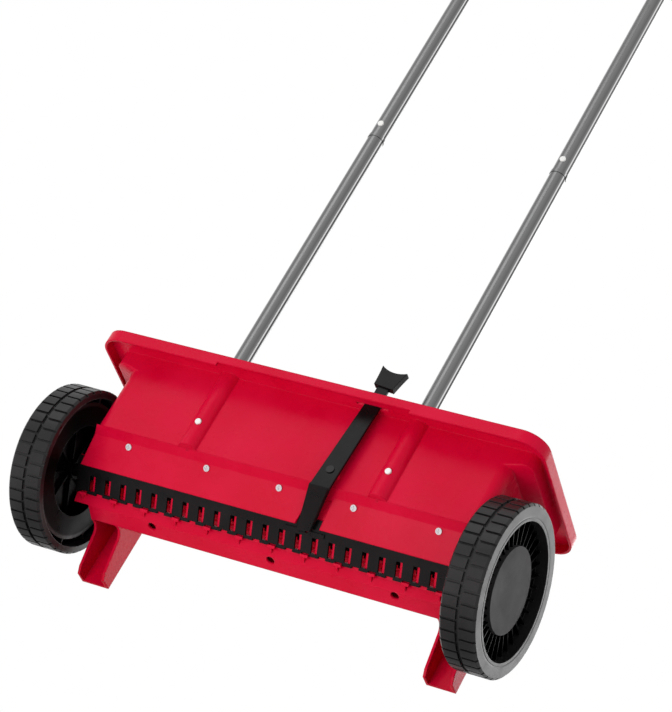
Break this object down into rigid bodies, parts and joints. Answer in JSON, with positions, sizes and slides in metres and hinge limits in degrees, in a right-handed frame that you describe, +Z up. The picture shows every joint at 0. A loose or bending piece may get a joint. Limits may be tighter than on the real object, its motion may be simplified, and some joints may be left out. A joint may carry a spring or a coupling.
{
  "type": "lawn drop spreader",
  "caption": "Walk-behind drop spreader for lawns: long hopper between two wheels, slotted dosing slider with a lever, agitator on the axle, front legs and a tall U-shaped tube handle.",
  "frame": {"origin": "on the ground, under the middle of the spreader's outline", "axes": "+Z up, +Y to the front, away from the operator, +X along the axle to the right wheel as the operator sees it"},
  "size_m": [0.528, 0.1954, 0.9929],
  "materials": {
    "hopper": "satin",
    "trough": "satin",
    "screws": "bright",
    "pivot": "blackened",
    "slider": "satin",
    "lever": "satin",
    "wheel": "matte",
    "hub_cap": "matte",
    "axle": "satin",
    "bush": "matte",
    "agitator": "matte",
    "tube": "polished",
    "grip": "matte",
    "button": "smooth",
    "spring": "satin"
  },
  "bodies": {
    "frame": {"hopper": "hopper", "trough": "trough", "rear_screws": "screws", "front_screws": "screws", "lever_pivot_screw": "pivot", "right_axle_bush": "bush", "left_axle_bush": "bush", "upper_handle": "tube", "handle_grip": "grip", "left_lower_tube": "tube", "right_lower_tube": "tube", "left_tube_plug": "bush", "right_tube_plug": "bush"},
    "axle_set": {"axle": "axle", "drive_pin": "axle", "axle_clips": "axle", "agitator": "agitator", "left_wheel": "wheel", "left_hub_cap": "hub_cap", "left_spacer": "bush", "right_spacer": "bush"},
    "right_wheel_set": {"right_wheel": "wheel", "right_hub_cap": "hub_cap"},
    "lever": {"dosing_lever": "lever", "lever_knob": "lever"},
    "slider": {"dosing_slider": "slider"},
    "left_socket_snap": {"left_socket_button": "button", "left_socket_spring": "spring"},
    "right_socket_snap": {"right_socket_button": "button", "right_socket_spring": "spring"},
    "left_joint_snap": {"left_joint_button": "button", "left_joint_spring": "spring"},
    "right_joint_snap": {"right_joint_button": "button", "right_joint_spring": "spring"}
  },
  "joints": [
    {"name": "axle_spin", "type": "hinge", "parent": "frame", "child": "axle_set", "pos_m": [0, -0.01168, 0.086], "axis": [1, 0, 0], "continuous": true},
    {"name": "right_wheel_spin", "type": "hinge", "parent": "frame", "child": "right_wheel_set", "pos_m": [0.24, -0.01168, 0.086], "axis": [1, 0, 0], "continuous": true},
    {"name": "lever_swing", "type": "hinge", "parent": "frame", "child": "lever", "pos_m": [0.05869, -0.07237, 0.12869], "axis": [0, 0.999, -0.0436], "range_deg": [-5.4, 4.5]},
    {"name": "slider_dose", "type": "slide", "parent": "frame", "child": "slider", "axis": [1, 0, 0], "range_m": [-0.0036, 0.0043]},
    {"name": "left_socket_press", "type": "slide", "parent": "frame", "child": "left_socket_snap", "axis": [0, 0.999, -0.0436], "range_m": [0, 0.003], "stiffness_N_per_m": 400, "springref_m": -0.002},
    {"name": "right_socket_press", "type": "slide", "parent": "frame", "child": "right_socket_snap", "axis": [0, 0.999, -0.0436], "range_m": [0, 0.003], "stiffness_N_per_m": 400, "springref_m": -0.002},
    {"name": "left_joint_press", "type": "slide", "parent": "frame", "child": "left_joint_snap", "axis": [0, 0.999, -0.0436], "range_m": [0, 0.003], "stiffness_N_per_m": 400, "springref_m": -0.002},
    {"name": "right_joint_press", "type": "slide", "parent": "frame", "child": "right_joint_snap", "axis": [0, 0.999, -0.0436], "range_m": [0, 0.003], "stiffness_N_per_m": 400, "springref_m": -0.002}
  ],
  "couplings": [
    {"joint": "slider_dose", "follows": "lever_swing", "m_per_rad": -0.0443}
  ]
}
